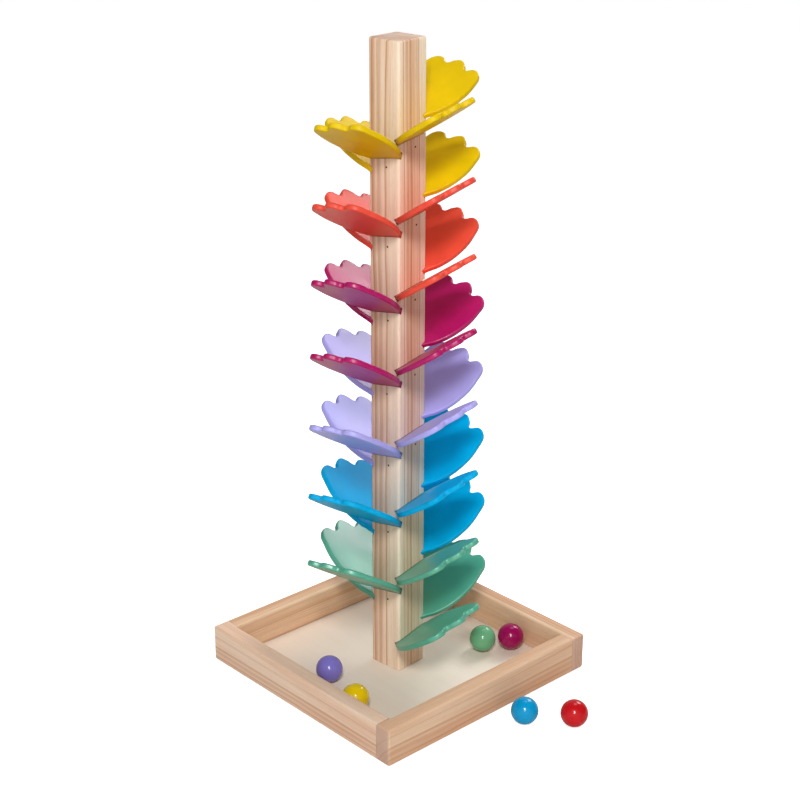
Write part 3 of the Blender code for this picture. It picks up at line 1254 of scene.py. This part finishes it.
@dataclass
class Tray:
    """The catch tray: four battens in a pinwheel of butt joints, and a thin floor let into them."""

    batten_thickness: float = 0.0128
    rounding: float = 0.0017
    rounding_steps: int = 6
    panel_rounding: float = 0.0003
    panel_rounding_steps: int = 2

    FLOOR_NODE = "tray_floor"

    def build_ring(self, half: float, rim: float) -> Piece:
        """Model the four battens as one rounded frame.

        Args:
            half: Half the tray's side.
            rim: The tray's height.

        Returns:
            The frame, before it is parted.
        """
        ring = add_block((-half, -half, 0.0), (half, half, rim))

        def is_rounded(edge: bmesh.types.BMEdge) -> bool:
            """Choose the upper and lower edges and the outer corners.

            Args:
                edge: An edge of the frame.

            Returns:
                Whether the edge is rounded.
            """
            first, second = edge_ends(edge)
            if is_level(edge):
                return min(abs(first.x - second.x), abs(first.y - second.y)) < FIT_GAP
            return min(abs(first.x), abs(first.y), abs(second.x), abs(second.y)) > half - FIT_GAP

        with editing(ring):
            select_where(ring, Select.FACES, lambda face: abs(face.normal.z) > LEVEL_FACE)
            bpy.ops.mesh.inset(thickness=self.batten_thickness, use_individual=True)
            bpy.ops.mesh.bridge_edge_loops()
            select_where(ring, Select.EDGES, is_rounded)
            bpy.ops.mesh.bevel(offset=self.rounding, segments=self.rounding_steps)
        return ring

    def build_sides(self) -> dict[Side, Piece]:
        """Part one batten from the rounded frame, rebate it for the floor, and turn copies round the tray.

        Returns:
            The battens by their sides.
        """
        low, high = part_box(Side.RIGHT_FRONT.node)
        floor_low, floor_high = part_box(self.FLOOR_NODE)
        batten = self.build_ring(-low[1], high[2])
        saw_off(batten, (0.0, high[1], 0.0), (0.0, 1.0, 0.0))
        saw_off(batten, (high[0], 0.0, 0.0), (1.0, 0.0, 0.0))
        gap = Vector((FIT_GAP, FIT_GAP, FIT_GAP))
        seat = add_block(Vector(floor_low) - gap - UP * high[2], Vector(floor_high) + gap)
        cut_away(batten, [seat])
        remove_pieces([seat])
        turns = [Matrix.Rotation(quarter * QUARTER_TURN, 4, "Z") for quarter in range(len(Side))]
        return dict(zip(Side, set_out(batten, turns)))

    def build_floor(self, holes: Sequence[Piece]) -> Piece:
        """Cut the floor panel, ease its edges and bore its screw holes.

        Args:
            holes: The shapes that are bored out of it.

        Returns:
            The floor panel.
        """
        panel = add_block(*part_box(self.FLOOR_NODE))
        with editing(panel):
            select_where(panel, Select.EDGES, lambda edge: True)
            bpy.ops.mesh.bevel(offset=self.panel_rounding, segments=self.panel_rounding_steps)
        cut_away(panel, holes)
        return panel


@dataclass
class Screws:
    """The two countersunk screws that hold the post, driven up through the tray's floor."""

    head_radius: float = 0.0040
    shank_radius: float = 0.0020
    core_radius: float = 0.0015
    head_depth: float = 0.0022
    shank_end: float = 0.0044
    ease: float = 0.0002
    point_length: float = 0.0050
    pitch: float = 0.0014
    thread_share: float = 1 / 3
    thread_turns: int = 14
    thread_steps: int = 20
    cross_length: float = 0.0046
    cross_width: float = 0.0009
    cross_depth: float = 0.0013
    cross_taper: float = 0.45
    steps: int = 40

    NODES = ("base_screw_1", "base_screw_2")
    THREAD_CORNERS = 3

    def places(self) -> list[Matrix]:
        """Give the frame of each screw: its head at the origin, and its point up Z.

        Returns:
            A frame for each screw.
        """
        frames = []
        for low, high in map(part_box, self.NODES):
            middle = (Vector(low) + Vector(high)) / 2
            frames.append(Matrix.Translation((middle.x, middle.y, low[2])))
        return frames

    def build(self) -> list[Piece]:
        """Turn a screw head down, cut its cross recess, wind on its thread and copy it.

        Returns:
            The two screws, in place.
        """
        low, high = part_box(self.NODES[0])
        length = high[2] - low[2]
        profile = [
            (0.0, 0.0),
            (self.head_radius - self.ease, 0.0),
            (self.head_radius, self.ease),
            (self.shank_radius, self.head_depth),
            (self.shank_radius, self.shank_end),
            (self.core_radius, self.shank_end + self.ease),
            (self.core_radius, length - self.point_length),
            (0.0, length),
        ]
        screw = turn_profile(profile, self.steps)
        self.cut_cross(screw)
        thread = self.wind_thread(length - self.point_length - self.thread_turns * self.pitch)
        return set_out(join_pieces([screw, thread]), self.places())

    def cut_cross(self, screw: Piece) -> None:
        """Cut the cross of the drive recess, narrower towards its bottom.

        Args:
            screw: The screw, standing on its head.
        """
        half_width, depth = self.cross_width / 2, self.cross_depth
        arm = (self.cross_length - self.cross_width) / 2
        narrower = (self.cross_taper, self.cross_taper, 1.0)
        cross = add_block((-half_width, -half_width, -depth), (half_width, half_width, depth))
        with editing(cross):
            select_where(cross, Select.FACES, lambda face: abs(face.normal.z) < LEVEL_FACE)
            bpy.ops.mesh.extrude_faces_move(TRANSFORM_OT_shrink_fatten={"value": arm})
            select_where(cross, Select.FACES, lambda face: face.normal.z > LEVEL_FACE)
            bpy.ops.transform.resize(value=narrower, center_override=(0.0, 0.0, depth))
        with editing(screw):
            select_where(screw, Select.FACES, lambda face: face.normal.z < -LEVEL_FACE)
            bpy.ops.mesh.dissolve_faces()
        cut_away(screw, [cross])
        remove_pieces([cross])

    def wind_thread(self, start: float) -> Piece:
        """Wind a sharp thread round the core.

        Args:
            start: The height where the thread starts.

        Returns:
            The thread, with closed ends.
        """
        radius = self.pitch * self.thread_share
        bpy.ops.mesh.primitive_circle_add(vertices=self.THREAD_CORNERS, radius=radius)
        thread = bpy.context.object
        thread.rotation_euler = (QUARTER_TURN, QUARTER_TURN, 0.0)
        apply_place(thread)
        with editing(thread):
            bpy.ops.transform.translate(value=(self.core_radius, 0.0, start))
        apply_modifier(
            thread,
            "SCREW",
            axis="Z",
            screw_offset=self.pitch,
            iterations=self.thread_turns,
            steps=self.thread_steps,
            render_steps=self.thread_steps,
        )
        with editing(thread):
            bpy.ops.mesh.fill_holes(sides=self.THREAD_CORNERS)
            bpy.ops.mesh.normals_make_consistent(inside=False)
        return thread

    def hole_cutters(self) -> list[Piece]:
        """Model the holes that the screws need in the tray's floor and in the foot of the post.

        Returns:
            One cutter a screw.
        """
        low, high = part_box(self.NODES[0])
        wide, narrow = self.head_radius + FIT_GAP, self.shank_radius + FIT_GAP
        profile = [
            (0.0, -low[2] - FIT_GAP),
            (wide, -low[2] - FIT_GAP),
            (wide, FIT_GAP),
            (narrow, self.head_depth + FIT_GAP),
            (narrow, high[2]),
            (0.0, high[2]),
        ]
        return set_out(turn_profile(profile, self.steps), self.places())


@dataclass
class Ball:
    """One turned wooden ball."""

    paint: Paint
    halvings: int = 5

    @property
    def node(self) -> str:
        """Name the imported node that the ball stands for."""
        return f"ball_{self.paint.value}"

    @property
    def body(self) -> str:
        """Name the body that the ball moves with."""
        return f"{self.paint.value}_ball"

    def build(self) -> Piece:
        """Round a finely divided cube to a ball and lay it in place.

        Returns:
            The ball.
        """
        low, high = (Vector(corner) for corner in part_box(self.node))
        radius = (high.z - low.z) / 2
        corner = Vector((radius, radius, radius))
        ball = add_block(-corner, corner)
        with editing(ball):
            for _ in range(self.halvings):
                bpy.ops.mesh.subdivide(number_cuts=1)
        apply_modifier(ball, "CAST", cast_type="SPHERE", factor=1.0, use_radius_as_size=False, size=radius)
        ball.location = (low + high) / 2
        apply_place(ball)
        return ball


def look_way(azimuth: float, elevation: float) -> Vector:
    """Give the direction that an azimuth and an elevation, in degrees, look from.

    Args:
        azimuth: Degrees round from -Y towards +X.
        elevation: Degrees above the floor.

    Returns:
        The direction, of length one.
    """
    around, above = math.radians(azimuth), math.radians(elevation)
    flat = math.cos(above)
    return Vector((math.sin(around) * flat, -math.cos(around) * flat, math.sin(above)))


@dataclass(frozen=True)
class Softbox:
    """One square softbox, placed by its direction and distance from the middle of the object.

    A softbox for gloss only shows in shiny surfaces and sheds no other light.
    """

    name: str
    azimuth: float
    elevation: float
    distance: float
    side: float
    power: float
    gloss_only: bool = False


@dataclass(frozen=True)
class SkyGlow:
    """A soft glow in the sky: its direction, the cosine where it fades out, and its strength."""

    way: Vector
    edge: float
    strength: float


@dataclass
class Studio:
    """The pale floor, the soft lights and the camera."""

    azimuth: float = -42.5
    elevation: float = 21.61
    distance: float = 1.2108
    aim_height: float = 0.2168
    aim_aside: float = 0.0015
    lens: float = 75.62
    floor_side: float = 12.0
    floor_drop: float = 0.0002
    sky_level: float = 0.06
    sky_colour: Colour = (1.0, 1.0, 1.0, 1.0)
    backdrop_glow: float = 1.0

    SOFTBOXES = (
        Softbox("main_softbox", -44.0, 40.0, 2.2, 0.38, 29.0),
        Softbox("back_softbox", 98.0, 33.0, 1.4, 0.50, 8.0),
        Softbox("high_softbox", 104.0, 66.0, 1.6, 0.60, 4.0),
        Softbox("front_softbox", -41.0, 24.0, 1.5, 0.30, 9.0, gloss_only=True),
    )

    SKY_GLOWS = (
        SkyGlow(Vector((-0.75, -0.65, -0.25)), 0.1, 1.12),
        SkyGlow(Vector((0.64, 0.68, 0.35)), 0.5, 0.60),
    )

    def build(self) -> None:
        """Set up the camera, floor, sky and lights."""
        self.add_camera()
        self.add_floor()
        self.add_sky()
        for softbox in self.SOFTBOXES:
            self.add_softbox(softbox)
        bpy.context.scene.view_settings.view_transform = "Standard"

    def add_camera(self) -> None:
        """Place the camera at the photograph's view."""
        back = look_way(self.azimuth, self.elevation)
        right = UP.cross(back).normalized()
        target = UP * self.aim_height + right * self.aim_aside
        bpy.ops.object.camera_add(location=target + back * self.distance)
        camera = bpy.context.object
        camera.rotation_euler = back.to_track_quat("Z", "Y").to_euler()
        camera.data.lens = self.lens
        bpy.context.scene.camera = camera

    def add_floor(self) -> None:
        """Lay the pale floor."""
        bpy.ops.mesh.primitive_plane_add(size=self.floor_side, location=(0.0, 0.0, -self.floor_drop))
        floor = bpy.context.object
        floor.name = "studio_floor"
        dress(floor, StudioWhite("studio_white").material())

    def add_sky(self) -> None:
        """Light the scene softly from all round, and show the camera a white backdrop."""
        world = bpy.data.worlds.new("studio_sky")
        world.use_nodes = True
        wiring = Wiring(world.node_tree)
        way = wiring.add("ShaderNodeTexCoord").outputs["Generated"]
        strength = self.sky_level
        for glow in self.SKY_GLOWS:
            facing = wiring.vector("DOT_PRODUCT", way, glow.way.normalized(), result="Value")
            share = wiring.spread(facing, (glow.edge, 1.0), (0.0, glow.strength))
            strength = wiring.math("ADD", share, strength)
        seen = wiring.add("ShaderNodeLightPath").outputs["Is Camera Ray"]
        strength = wiring.math("MAXIMUM", strength, wiring.math("MULTIPLY", seen, self.backdrop_glow))
        background = world.node_tree.nodes["Background"]
        wiring.feed(background.inputs["Color"], self.sky_colour)
        wiring.feed(background.inputs["Strength"], strength)
        bpy.context.scene.world = world

    def add_softbox(self, softbox: Softbox) -> None:
        """Hang a square softbox that faces the object.

        Args:
            softbox: Its place, size and power.
        """
        way = look_way(softbox.azimuth, softbox.elevation)
        bpy.ops.object.light_add(type="AREA", location=UP * self.aim_height + way * softbox.distance)
        light = bpy.context.object
        light.name = softbox.name
        light.data.shape = "SQUARE"
        light.data.size = softbox.side
        light.data.energy = softbox.power
        light.visible_diffuse = not softbox.gloss_only
        light.rotation_euler = way.to_track_quat("Z", "Y").to_euler()


def build_post(spiral: Spiral, holes: Sequence[Piece]) -> None:
    """Make the post, bored for its screws, and the brads in it."""
    hand_over(Post(spiral).build(holes), "pine_post", POST_PINE.material(), "pine", [Post.NODE])
    hand_over(Brads(spiral).build(), "petal_brads", BRAD_STEEL.material(), "screw_steel")


def build_petals(spiral: Spiral) -> None:
    """Make the petals in their six paints.

    Args:
        spiral: The run of petals.
    """
    materials = {paint: finish.material() for paint, finish in PETAL_PAINTS.items()}
    for index in range(spiral.petals):
        petal = Petal(spiral, index)
        name, slot = f"painted_{petal.node}", f"petal_{petal.paint.value}"
        hand_over(petal.build(), name, materials[petal.paint], slot, [petal.node])


def build_tray(screws: Screws, holes: Sequence[Piece]) -> None:
    """Make the tray's battens and floor, and the screws under it.

    Args:
        screws: The screws that hold the post.
        holes: The shapes of the screw holes.
    """
    tray = Tray()
    for side, piece in tray.build_sides().items():
        hand_over(piece, f"pine_batten_{side.value}", BATTEN_PINES[side].material(), "pine", [side.node])
    hand_over(tray.build_floor(holes), "ply_tray_floor", FLOOR_PLY.material(), "pale_ply", [tray.FLOOR_NODE])
    steel = SCREW_STEEL.material()
    for node, piece in zip(screws.NODES, screws.build()):
        hand_over(piece, f"countersunk_{node}", steel, "screw_steel", [node])


def build_balls() -> None:
    """Make the six loose balls, each on a body of its own."""
    for paint in Paint:
        ball = Ball(paint)
        material = BALL_PAINTS[paint].material()
        hand_over(ball.build(), f"turned_{ball.node}", material, ball.node, [ball.node], ball.body)


def main() -> None:
    """Build the studio and every piece of the tree, in order."""
    logging.basicConfig(level=logging.INFO, format="%(name)s: %(message)s")
    spiral = Spiral()
    Studio().build()
    screws = Screws()
    holes = screws.hole_cutters()
    build_post(spiral, holes)
    build_petals(spiral)
    build_tray(screws, holes)
    remove_pieces(holes)
    build_balls()


if __name__ == "__main__":
    main()
